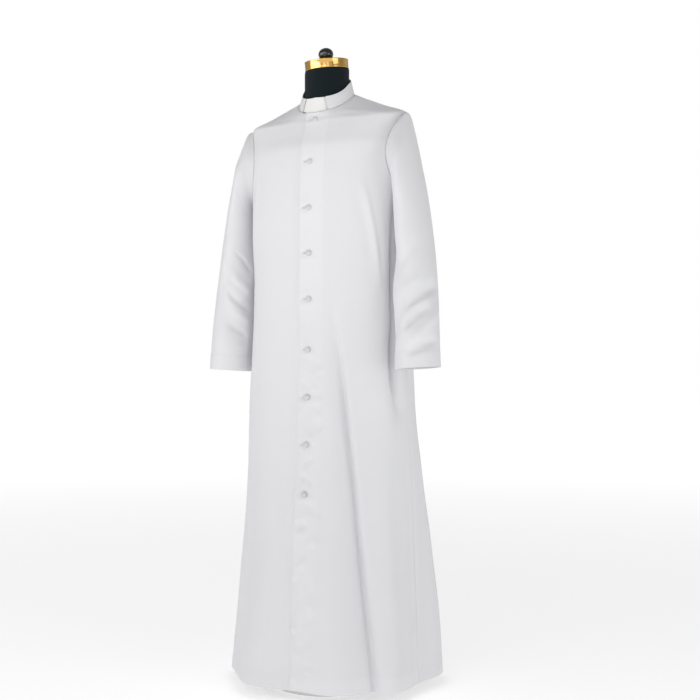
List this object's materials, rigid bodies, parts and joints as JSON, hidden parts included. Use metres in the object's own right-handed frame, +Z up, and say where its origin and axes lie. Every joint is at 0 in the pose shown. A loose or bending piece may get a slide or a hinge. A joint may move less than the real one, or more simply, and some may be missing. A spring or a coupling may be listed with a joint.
{
  "type": "cassock on a dress form",
  "caption": "Long white button-front clerical cassock with long sleeves and a tab collar, filled out on a black limbless dress form with a round stand.",
  "frame": {"origin": "centre of the base plate's underside, on the floor", "axes": "+Z up, -Y is the garment's front, +X is the wearer's left"},
  "size_m": [0.63, 0.4507, 1.564],
  "materials": {
    "cassock_cloth": "smooth white satin-faced suiting cloth, soft sheen",
    "tab_plastic": "smooth white collar tab, slightly warm",
    "button_cloth": "buttons covered in the garment's cloth",
    "form_cover": "black stretch jersey over a hard form",
    "gold_metal": "polished gold-coloured metal",
    "knob_lacquer": "gloss black",
    "stand_metal": "white powder coat"
  },
  "bodies": {
    "root": {"front_left": "cassock_cloth", "front_right": "cassock_cloth", "back": "cassock_cloth", "sleeve_left": "cassock_cloth", "sleeve_right": "cassock_cloth", "collar": "cassock_cloth", "collar_tab": "tab_plastic", "button_1": "button_cloth", "button_2": "button_cloth", "button_3": "button_cloth", "button_4": "button_cloth", "button_5": "button_cloth", "button_6": "button_cloth", "button_7": "button_cloth", "button_8": "button_cloth", "button_9": "button_cloth", "form_torso": "form_cover", "neck_ring": "gold_metal", "neck_knob": "knob_lacquer", "pole": "stand_metal", "base_plate": "stand_metal"}
  },
  "joints": []
}
